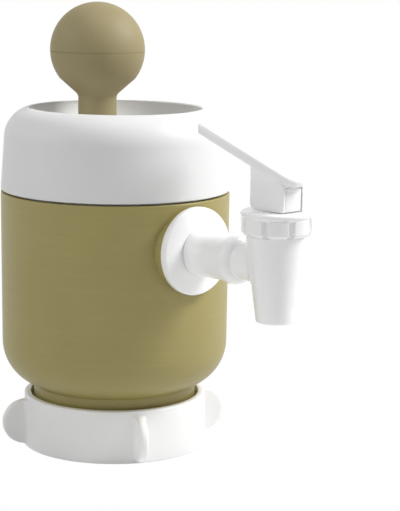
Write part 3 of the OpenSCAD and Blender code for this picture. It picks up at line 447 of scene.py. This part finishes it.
def makeCap(size):
    curveR, middle, lipR, wall = size["curveR"], size["curveMid"], size["lipR"], size["wall"]
    lipMid, lipZ = size["dishWallR"] + lipR, size["top"] - lipR
    lipTurn = math.asin((lipMid - middle) / (curveR - lipR))
    lipEnd = 90 - math.degrees(lipTurn)  # where the lip runs into the shoulder
    curveZ = lipZ - (curveR - lipR) * math.cos(lipTurn)
    dishMid, dishZ = size["dishWallR"] - size["dishR"], size["dishFloor"] + size["dishR"]
    under, dishOut, curveIn = size["dishFloor"] - wall, size["dishR"] + wall, curveR - wall
    # where the undersides of the shoulder and the dish meet
    apart, bearing = math.hypot(middle - dishMid, dishZ - curveZ), math.atan2(dishZ - curveZ, dishMid - middle)
    spread = math.acos((apart**2 + curveIn**2 - dishOut**2) / (2 * apart * curveIn))
    meet = bearing - spread
    meetR, meetZ = middle + curveIn * math.cos(meet), curveZ + curveIn * math.sin(meet)
    fromDish = math.degrees(math.atan2(meetZ - dishZ, meetR - dishMid))
    padAngle = math.degrees(math.acos((size["padR"] - dishMid) / dishOut))
    low, high = size["sealRoom"]
    corners = [
        (0, size["dishFloor"]), *arc(dishMid, dishZ, size["dishR"], -90, 0, 24),
        *arc(lipMid, lipZ, lipR, 180, lipEnd, 8), *arc(middle, curveZ, curveR, lipEnd, 0, 32)[1:],
        (size["baseR"], size["grooveTop"], size["baseEdge"]), (size["grooveR"], size["grooveTop"]),
        (size["grooveR"], size["base"]), (size["skirtR"], size["base"]), (size["skirtR"], high),
        (size["sealR"], high), (size["sealR"], low), (size["skirtR"], low), (size["skirtR"], size["skirtEnd"], 0.5),
        (size["skirtInR"], size["skirtEnd"], 0.5), (size["skirtInR"], size["ledgeTop"], 0.5),
        (size["ledgeR"], size["ledgeTop"]), *arc(middle, curveZ, curveIn, 0, math.degrees(meet), 16),
        *arc(dishMid, dishZ, dishOut, fromDish, -padAngle, 12)[1:], (size["padR"], under), (0, under),
    ]
    cap = solid("capShell", turned(corners, 192, closed=False))
    inner, outer, start = size["sleeve"]
    sleeve = turned([(inner, start), (outer, start), (outer, under + 1), (inner, under + 1)], 96)
    carve(cap, solid("sleeve", movedTo(sleeve, size["pumpX"])), "UNION")
    hole, edge, top = size["rodHole"], size["rodEdge"], size["dishFloor"]
    flare = [
        (0, under - 2), (hole, under - 2), *arc(hole + edge, top - edge, edge, 180, 90, 6),
        (hole + edge, top + 1), (0, top + 1),
    ]
    carve(cap, solid("hole", movedTo(turned(flare, 96, closed=False), size["pumpX"])))
    finishPiece(cap, "top_cap", "pump")


makeHousing(housingSize)
makeCap(capSize)
print("housing and cap made")

knobSize = {
    "ballR": 19.7, "ballZ": 164.3, "tubeR": 8, "boreR": 5, "tubeEnd": 50.5, "coneStart": 37, "coneAngle": 48.5,
    "filletR": 3, "shellR": 17.2, "tongue": (15.6, 16.8, 2), "seamDrop": 0.6, "seam": 0.06, "seamEdge": 0.1,
    "x": -12,
}


def makeKnob(size):
    ballR, ballZ, tubeR, fillet = size["ballR"], size["ballZ"], size["tubeR"], size["filletR"]
    start, slope = math.radians(size["coneStart"]), math.radians(size["coneAngle"])
    coneR, coneZ = ballR * math.cos(start), ballZ - ballR * math.sin(start)
    coneEnd = coneZ - (coneR - tubeR) / math.tan(slope)
    filletZ = coneEnd - fillet * math.tan(slope / 2)
    shellR = size["shellR"]
    lowR, lowZ = shellR * math.cos(start), ballZ - shellR * math.sin(start)
    tongueIn, tongueOut, tongueH = size["tongue"]
    joinAngle = -math.degrees(math.acos(tongueIn / shellR))
    seamZ = ballZ - size["seamDrop"]
    seamAngle = -math.degrees(math.asin(size["seamDrop"] / ballR))
    corners = [
        (size["boreR"], size["tubeEnd"]), (tubeR, size["tubeEnd"], 0.6),
        *arc(tubeR + fillet, filletZ, fillet, 180, 180 - size["coneAngle"], 8),
        *arc(0, ballZ, ballR, -size["coneStart"], seamAngle - 1, 22), (ballR, seamZ, size["seamEdge"]),
        (tongueOut, seamZ), (tongueOut, seamZ + tongueH), (tongueIn, seamZ + tongueH),
        *arc(0, ballZ, shellR, joinAngle, -size["coneStart"], 8),
        (size["boreR"], lowZ - lowR + size["boreR"]),
    ]
    plunger = solid("plungerAndBall", movedTo(turned(corners, 128), size["x"]))
    finishPiece(plunger, "plunger", "plunger")
    seam = seamZ + size["seam"]
    corners = [
        (0, ballZ + shellR), *arc(0, ballZ, shellR, 90, seamAngle + 1, 24)[1:], (shellR, seam),
        (ballR, seam, size["seamEdge"]), *arc(0, ballZ, ballR, seamAngle + 1.2, 90, 30)[:-1], (0, ballZ + ballR),
    ]
    top = solid("ballTop", movedTo(turned(corners, 128, closed=False), size["x"]))
    finishPiece(top, "knob_cap", "plunger")


makeKnob(knobSize)
print("knob made")

ringSize = {
    "height": 21.7, "footR": 38.9, "topR": 38, "rim": 0.9, "lipR": 33.5, "webZ": 1.9, "webInR": 31.6,
    "threadR": 34.2, "threadZ": (4.4, 16.7), "mouthR": 35.3, "mouthStep": 1.4,
    "lugs": 4, "firstLug": -25, "lugT": 3.4, "lugH": 19, "lugReach": 48.2, "lugEdge": 1.3, "lugDrop": 0.4,
    "lugRoot": 1.5, "flare": 2.2, "flareGap": 0.1, "flareRows": 8,
}


def makeLug(size):
    # half a disc on edge, with a rounded rim and a root that flares into the ring
    discR, half, edge, root = size["lugH"] / 2, size["lugT"] / 2, size["lugEdge"], size["lugRoot"]
    bm = turned([(0, -half), (discR, -half, edge), (discR, half, edge), (0, half)], 96, closed=False)
    turnedBy(bm, math.pi / 2, "X")
    movedTo(bm, size["lugReach"] - discR, 0, size["height"] / 2 - size["lugDrop"])
    cut = (size["topR"] - root) * mm
    kept = bmesh.ops.bisect_plane(
        bm, geom=bm.verts[:] + bm.edges[:] + bm.faces[:], plane_co=(cut, 0, 0), plane_no=(-1, 0, 0),
        clear_outer=True,
    )
    rim = [item for item in kept["geom_cut"] if isinstance(item, bmesh.types.BMEdge)]
    bmesh.ops.contextual_create(bm, geom=rim)
    rows = size["flareRows"]
    for step in range(1, rows + 1):
        # the cuts lie closer together near the ring
        place = cut + (root + size["flare"] * (step / rows) ** 1.5) * mm
        bmesh.ops.bisect_plane(
            bm, geom=bm.verts[:] + bm.edges[:] + bm.faces[:], plane_co=(place, 0, 0), plane_no=(1, 0, 0)
        )
    flare = size["flare"] * mm
    for vert in bm.verts:
        # nearer to the ring's wall than the flare, the lug widens along a quarter circle
        gap = max(0, math.hypot(vert.co.x, vert.co.y) - size["topR"] * mm - size["flareGap"] * mm)
        if gap < flare:
            widen = flare - math.sqrt(flare**2 - (flare - gap) ** 2)
            share = min(1, abs(vert.co.y) / (half * mm))
            vert.co.y += math.copysign(widen * share, vert.co.y)
    return bm


def makeRing(size):
    low, high = size["threadZ"]
    height, rim, mouth = size["height"], size["rim"], size["mouthR"]
    corners = [
        (size["lipR"], 0, 0.2), (size["footR"], 0, 0.6), (size["topR"], height, rim), (mouth, height, 0.5),
        (mouth, high + size["mouthStep"]), (size["threadR"], high), (size["threadR"], low), (size["webInR"], low),
        (size["webInR"], size["webZ"]), (size["lipR"], size["webZ"]),
    ]
    ring = solid("lockRingShell", turned(corners, 192))
    for i in range(size["lugs"]):
        angle = math.radians(size["firstLug"] + 360 / size["lugs"] * i)
        carve(ring, solid("lug", turnedBy(makeLug(size), angle, "Z")), "UNION")
    finishPiece(ring, "lock_ring", "ring")


makeRing(ringSize)
print("lock ring made")

flangeSize = {
    "backX": 48.55, "rimX": 51.4, "frontX": 52, "radius": 17.7, "flatR": 10.8, "boreR": 7.1, "round": 1, "z": 87.7,
}


def makeFlange(size):
    rise, run = size["frontX"] - size["rimX"], size["radius"] - size["round"] - size["flatR"]
    domeR = (run**2 + rise**2) / (2 * rise)
    corners = [
        (size["boreR"], size["backX"]), (size["radius"], size["backX"], 0.3),
        *arc(size["radius"] - size["round"], size["rimX"] - size["round"], size["round"], 0, 85, 8),
        *arc(size["flatR"], size["frontX"] - domeR, domeR, 90 - math.degrees(math.asin(run / domeR)), 90, 8)[1:],
        (size["boreR"], size["frontX"]),
    ]
    flange = solid("tapFlangeDome", alongX(turned(corners, 144), size["z"]))
    finishPiece(flange, "tap_flange", "pump")


tapSize = {
    "z": 87.7, "x": 94.5, "shankEnd": 35.5, "shankR": 7, "waterR": 2.8, "waterStart": 20,
    "barbs": 3, "barbR": 4, "barbRise": 0.5, "barbL": 10,
    "sleeveX": 52.1, "sleeveR": 9.2, "collarX": 71.8, "collarR": 9.8, "collarEnd": 77.2, "collarRound": 3.5,
    "pipeR": 7.4, "pipeInset": 3, "fillet": 1.6, "joinX": 10.6, "joinPitch": 0.35, "joinRows": 8,
    "spoutZ": 66.4, "spoutR": 7.2, "spoutBore": 5.2, "boreTop": 76.8, "seatR": 4.2, "seatZ": 80,
    "chamber": (6.6, 8.8), "barrelTop": 100.1, "barrelR": 11.7, "threadR": 10.9, "threadTop": 106.7,
}


def makeTapBody(size):
    low, high = size["spoutZ"], size["barrelTop"]

    def barrelRadius(z):
        return size["spoutR"] + (size["barrelR"] - size["spoutR"]) * (z - low) / (high - low)

    corners = [
        (size["spoutBore"], low, 0.4), (size["spoutR"], low, 0.6), (size["barrelR"], high, 0.3),
        (size["threadR"], high), (size["threadR"], size["threadTop"], 0.4), (size["chamber"][1], size["threadTop"]),
        (size["chamber"][1], high), (size["chamber"][0], size["seatZ"]), (size["seatR"], size["seatZ"]),
        (size["seatR"], size["boreTop"] + 1), (size["spoutBore"], size["boreTop"]),
    ]
    barrel = solid("tapBodyShell", movedTo(turned(corners, 144), size["x"]))
    rows, joinX = size["joinRows"], size["x"] - size["joinX"]
    nearBarrel = [(size["pipeR"], joinX + size["joinPitch"] * i) for i in range(-rows, rows + 1)]
    barbs, pitch = [], size["barbL"] / size["barbs"]
    for i in range(size["barbs"]):
        back = size["shankEnd"] - pitch * i
        barbs += [(size["barbR"], back - 0.01), (size["barbR"] - size["barbRise"], back - pitch)]
    roundMid, roundZ = size["collarR"] - size["collarRound"], size["collarEnd"] - size["collarRound"]
    roundEnd = math.degrees(math.acos((size["pipeR"] - roundMid) / size["collarRound"]))
    pipeEnd = size["x"] - size["pipeInset"]
    corners = [
        (0, size["shankEnd"] - size["barbL"]), *reversed(barbs), (size["shankR"], size["shankEnd"], 0.5),
        (size["shankR"], size["sleeveX"]), (size["sleeveR"], size["sleeveX"], 0.4),
        (size["sleeveR"], size["collarX"]), (size["collarR"], size["collarX"], 0.35),
        *arc(roundMid, roundZ, size["collarRound"], 0, roundEnd, 12), *nearBarrel,
        (size["pipeR"], pipeEnd), (0, pipeEnd),
    ]
    pipe = alongX(turned(corners, 144, closed=False), size["z"])
    fillet = size["fillet"] * mm
    axis = Vector((0, 0, size["z"] * mm))
    for vert in pipe.verts:
        # the pipe flares where it meets the barrel
        gap = math.hypot(vert.co.x - size["x"] * mm, vert.co.y) - barrelRadius(vert.co.z / mm) * mm
        away = Vector((0, vert.co.y, vert.co.z)) - axis
        onWall = away.length > 0.9 * size["pipeR"] * mm
        if vert.co.x > size["collarEnd"] * mm and gap < fillet and onWall:
            reach = min(fillet, fillet - max(gap, 0))
            widen = fillet - math.sqrt(max(0, fillet**2 - reach**2))
            vert.co += away.normalized() * min(widen, 0.8 * fillet)
    carve(barrel, solid("pipe", pipe), "UNION")
    carve(barrel, solid("bore", alongX(rod(size["waterR"], size["waterStart"], size["x"], 64), size["z"])))
    finishPiece(barrel, "tap_body", "pump")


bonnetSize = {
    "x": 94.5, "radius": 13.8, "low": 100.2, "high": 109.4, "beadR": 1.35, "rimW": 1.5, "skirtR": 13.5,
    "bevel": 1.2, "rows": 19, "rowPitch": 0.28, "threadR": 11, "threadTop": 106.8, "stemR": 2.56,
    "notches": 8, "firstNotch": -20.1, "notchW": 2.1, "notchDepth": 1.7, "notchTop": 106.7,
    "notchEdge": 0.35, "notchEnd": (0.7, 0.3), "notchWall": 0.9,
}


def smoothStep(value, low, high):
    share = min(1, max(0, (value - low) / (high - low)))
    return share * share * (3 - 2 * share)


def makeBonnet(size):
    low, high, bead = size["low"], size["high"], size["beadR"]
    rows = [(size["skirtR"], low + size["bevel"] + size["rowPitch"] * i) for i in range(size["rows"])]
    corners = [
        (size["threadR"], low, 0.2), (size["skirtR"] - size["bevel"], low), *rows,
        *arc(size["radius"] - bead, high - bead, bead, -50, 90, 14), (size["radius"] - bead - size["rimW"], high),
        (size["stemR"], high, 0.2), (size["stemR"], size["threadTop"]), (size["threadR"], size["threadTop"]),
    ]
    bm = turned(corners, 384)
    pitch, half, edge = 360 / size["notches"], size["notchW"] / 2, size["notchEdge"]
    below, above = size["notchEnd"]
    for vert in bm.verts:
        height, r = vert.co.z / mm, math.hypot(vert.co.x, vert.co.y) / mm
        if r < size["threadR"] + 1 or height > size["notchTop"] + above:
            continue
        turn = math.degrees(math.atan2(vert.co.y, vert.co.x)) - size["firstNotch"]
        off = abs((turn + pitch / 2) % pitch - pitch / 2) * math.pi / 180 * r
        sink = size["notchDepth"] * (1 - smoothStep(off, half - edge, half + edge))
        sink *= 1 - smoothStep(height, size["notchTop"] - below, size["notchTop"] + above)
        keep = max(size["threadR"] + size["notchWall"], r - sink) / r
        vert.co.x *= keep
        vert.co.y *= keep
    bonnet = solid("bonnetNut", movedTo(bm, size["x"]))
    finishPiece(bonnet, "tap_bonnet", "pump", 50)


makeFlange(flangeSize)
makeTapBody(tapSize)
makeBonnet(bonnetSize)
print("tap made")

stemSize = {
    "x": 94.5, "plugZ": 81.1, "tipR": 2, "discZ": 83.1, "discT": 1.5, "discR": 5.8, "stemR": 2.5,
    "bladeZ": 109.7, "bladeT": 8.1, "rear": 4.8, "front": 8.5, "pivotZ": 114, "bladeTop": 118.8, "pinR": 1.52,
    "soft": 0.3, "frontRound": 1.2, "rearRound": 3.9,
}


def pinHole(radius, reach, x, z):
    # a cutter across the lever's pin
    hole = turnedBy(rod(radius, -reach, reach, 32), math.pi / 2, "X")
    return solid("hole", movedTo(hole, x, 0, z))


def makeStem(size):
    tipR, discR, stemR, discZ = size["tipR"], size["discR"], size["stemR"], size["discZ"]
    discTop, rodTop = discZ + size["discT"], size["bladeZ"] + 1
    corners = [
        (0, size["plugZ"]), (tipR, size["plugZ"], 0.2), (tipR, discZ), (discR, discZ, 0.3),
        (discR, discTop, 0.3), (stemR, discTop), (stemR, rodTop), (0, rodTop),
    ]
    stem = solid("stemBlade", turned(corners, 64, closed=False))
    rear, front, low, top, soft = -size["rear"], size["front"], size["bladeZ"], size["bladeTop"], size["soft"]
    blade = extruded([
        (rear, low, soft), (front, low, soft), (front, top, size["frontRound"]), (rear, top, size["rearRound"]),
    ], size["bladeT"])
    softenEdges(blade, soft, 60)
    carve(stem, solid("blade", blade), "UNION")
    carve(stem, pinHole(size["pinR"], size["bladeT"] / 2 + 1, 0, size["pivotZ"]))
    stem.data.transform(Matrix.Translation((size["x"] * mm, 0, 0)))
    finishPiece(stem, "valve_stem", "stem")


leverSize = {
    "rear": 84.1, "front": 103.2, "foot": 109.6, "width": 11.8, "rearRound": 3, "frontRound": 0.6, "rows": 24,
    "slot": 9.1, "slotTop": 119.3, "rearWall": 2.4, "heelR": 5, "webR": 3.5,
    "noseX": 105.3, "paddleZ": 118.4, "tilt": 25, "length": 45, "tipW": 29.2, "noseW": 9.4, "thick": 3.8,
    "noseR": 3.8, "tipR": 2, "edgeH": 1.7, "edgeAtTip": 3.2, "edgeAtNose": 1.6, "endEdge": 1.2, "edgeSteps": 10,
    "noseZone": (0.02, 0.12), "tipZone": (0.85, 0.95),  # shares of the paddle's length
    "yokeInset": 0.3, "cutDepth": 2, "slotEdge": 0.3, "pinR": 1.56, "pinL": 9.6, "pivot": (94.5, 114),
}


def roundedPlan(corners):
    # a flat outline of (x, y, rounding) corners
    bm = bmesh.new()
    verts = [bm.verts.new((corner[0] * mm, corner[1] * mm, 0)) for corner in corners]
    bm.faces.new(verts)
    roundCorners(bm, verts, corners, 8)
    return bm, bm.faces[:][0]


def drawnUp(bm, outline):
    # given its edges too, the extrusion leaves no face behind inside
    made = bmesh.ops.extrude_face_region(bm, geom=[outline, *outline.edges])["geom"]
    return next(item for item in made if isinstance(item, bmesh.types.BMFace))


def makePaddle(size):
    # flat plate with softly rounded upper edges, and a tip cut off upright
    length, tip, wide, steps = size["length"], size["tipW"] / 2, size["noseW"] / 2, size["edgeSteps"]
    tilt = math.radians(size["tilt"])
    noseR, tipR = size["noseR"], size["tipR"]
    bm, outline = roundedPlan([(0, -wide, noseR), (0, wide, noseR), (-length, tip, tipR), (-length, -tip, tipR)])
    height = inset = 0
    for i in range(steps + 1):
        angle = math.radians(90 * i / steps)
        newHeight = size["thick"] - size["edgeH"] * (1 - math.sin(angle))
        rise, draw = newHeight - height, 1 - math.cos(angle) - inset
        height, inset = newHeight, 1 - math.cos(angle)
        outline = drawnUp(bm, outline)
        for vert in outline.verts:
            share = min(1, max(0, -vert.co.x / mm / length))  # 0 at the nose, 1 at the tip
            across = size["edgeAtNose"] + (size["edgeAtTip"] - size["edgeAtNose"]) * share
            half = (wide + (tip - wide) * share) * mm
            atTip, pastNose = smoothStep(share, *size["tipZone"]), smoothStep(share, *size["noseZone"])
            vert.co.y -= across * draw * mm * vert.co.y / half
            vert.co.x += (size["endEdge"] * draw - rise * math.tan(tilt)) * atTip * mm
            vert.co.x -= size["edgeAtNose"] * draw * (1 - pastNose) * mm
            vert.co.z += rise * mm
    return movedTo(turnedBy(bm, tilt, "Y"), size["noseX"], 0, size["paddleZ"])


def makeYoke(size):
    # upright block with a round back, which flares into the paddle's underside
    rear, front, foot, half, rows = size["rear"], size["front"], size["foot"], size["width"] / 2, size["rows"]
    slope, webR = math.tan(math.radians(size["tilt"])), size["webR"]
    rearEdge, frontEdge = size["rearRound"], size["frontRound"]
    bm, outline = roundedPlan([
        (rear, -half, rearEdge), (front, -half, frontEdge), (front, half, frontEdge), (rear, half, rearEdge),
    ])
    low = foot - 1  # the heel's outline trims this end
    movedTo(bm, z=low)
    for i in range(rows):
        outline = drawnUp(bm, outline)
        for vert in outline.verts:
            underside = size["paddleZ"] + (size["noseX"] - vert.co.x / mm) * slope
            vert.co.z += (underside + size["yokeInset"] - low) / rows * mm
    for vert in bm.verts:
        x = vert.co.x / mm
        gap = max(0, size["paddleZ"] + (size["noseX"] - x) * slope - vert.co.z / mm)
        if gap < webR and x < rear + rearEdge:
            widen = webR - math.sqrt(webR**2 - (webR - gap) ** 2)
            vert.co.x -= widen * (rear + rearEdge - x) / rearEdge * mm
    flat = math.radians(0.5)
    bmesh.ops.dissolve_limit(bm, angle_limit=flat, verts=bm.verts, edges=bm.edges, delimit=set())
    yoke = solid("leverAndPaddle", bm)
    # trimmed to its side view: the round heel, and clear of the web above it
    behind, high, top = rear - 2 * webR, foot + 3 * webR, size["paddleZ"] + 20
    rearSide, frontSide = rear - 0.01, front + 0.01
    side = extruded([
        (rearSide, foot, size["heelR"]), (frontSide, foot, frontEdge), (frontSide, top),
        (behind, top), (behind, high + 2), (rearSide, high),
    ], size["width"] + 2)
    return carve(yoke, solid("side", side), "INTERSECT")


def makeLever(size):
    half, past = size["slot"] / 2, size["cutDepth"]
    lever = makeYoke(size)
    carve(lever, solid("paddle", makePaddle(size)), "UNION")
    low = (size["rear"] + size["rearWall"], -half, size["foot"] - past)
    high = (size["front"] + 2 * past, half, size["slotTop"])
    carve(lever, solid("slot", boxed(low, high, size["slotEdge"])))
    carve(lever, pinHole(size["pinR"], size["pinL"] / 2, *size["pivot"]))
    finishPiece(lever, "tap_lever", "lever")


def makeSpring():
    # the frame's own coil, copied into a mesh of its own (the real coil shortens under the rising stem)
    bm = bmesh.new()
    bm.from_mesh(frame["nodes"]["stem_spring"].data)
    bmesh.ops.remove_doubles(bm, verts=bm.verts, dist=0.0001 * mm)
    spring = solid("closingSpring", bm)
    finishPiece(spring, "stem_spring", "pump")
    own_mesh(spring)


makeStem(stemSize)
makeLever(leverSize)
makeSpring()
print("stem, lever and spring made")

studio = {
    "floorSize": 40,
    "floorColour": srgb(240, 240, 240),
    "whiteShare": 1,
    "worldLevel": 0.3,
    "lamps": [
        # name, bearing right of the camera, height angle, distance, size, watts
        ("keyLamp", 88, 42, 0.8, 0.35, 5.9),
        ("leftLamp", -70, 32, 0.8, 0.5, 1.5),
        ("topLamp", 0, 86, 0.9, 0.4, 1.2),
    ],
    "cameraBearing": -40,
    "aim": (0.02, 0, 0.1),
}


def seenDirectly(tree):
    path = "ShaderNodeLightPath"
    rays = [tree.node(path, out=kind) for kind in ("Is Camera Ray", "Is Glossy Ray", "Is Transmission Ray")]
    return (rays[0] + rays[1] + rays[2]).clamp()


def makeFloor(setup):
    bm = bmesh.new()
    bmesh.ops.create_grid(bm, x_segments=1, y_segments=1, size=setup["floorSize"] / 2)
    mesh = bpy.data.meshes.new("floor")
    bm.to_mesh(mesh)
    bm.free()
    floor = bpy.data.objects.new("floor", mesh)
    scene.collection.objects.link(floor)
    material, tree = emptyMaterial("paleFloor")
    lit = tree.node("ShaderNodeBsdfDiffuse", {"Color": (*setup["floorColour"], 1)})
    white = tree.node("ShaderNodeEmission", {"Color": (1, 1, 1, 1), "Strength": 1})
    share = seenDirectly(tree) * setup["whiteShare"]
    surface = tree.node("ShaderNodeMixShader", {0: share, 1: lit, 2: white})
    tree.node("ShaderNodeOutputMaterial", {"Surface": surface})
    mesh.materials.append(material)


def makeWorld(setup):
    world = bpy.data.worlds.new("studio")
    scene.world = world
    world.use_nodes = True
    world.node_tree.nodes.clear()
    tree = Wire(world.node_tree)
    level = seenDirectly(tree) * (1 - setup["worldLevel"]) + setup["worldLevel"]
    shader = tree.node("ShaderNodeBackground", {"Color": (1, 1, 1, 1), "Strength": level})
    tree.node("ShaderNodeOutputWorld", {"Surface": shader})


def makeLamps(setup):
    aim = Vector(setup["aim"])
    for name, bearing, height, distance, size, watts in setup["lamps"]:
        data = bpy.data.lights.new(name, "AREA")
        data.shape = "DISK"
        data.size = size
        data.energy = watts
        lamp = bpy.data.objects.new(name, data)
        turn, rise = math.radians(setup["cameraBearing"] + bearing), math.radians(height)
        away = Vector((math.cos(turn) * math.cos(rise), math.sin(turn) * math.cos(rise), math.sin(rise)))
        lamp.location = aim + away * distance
        lamp.rotation_euler = away.to_track_quat("Z", "Y").to_euler()
        scene.collection.objects.link(lamp)


makeFloor(studio)
makeWorld(studio)
makeLamps(studio)
scene.view_settings.view_transform = "Standard"
print("floor and lamps ready")
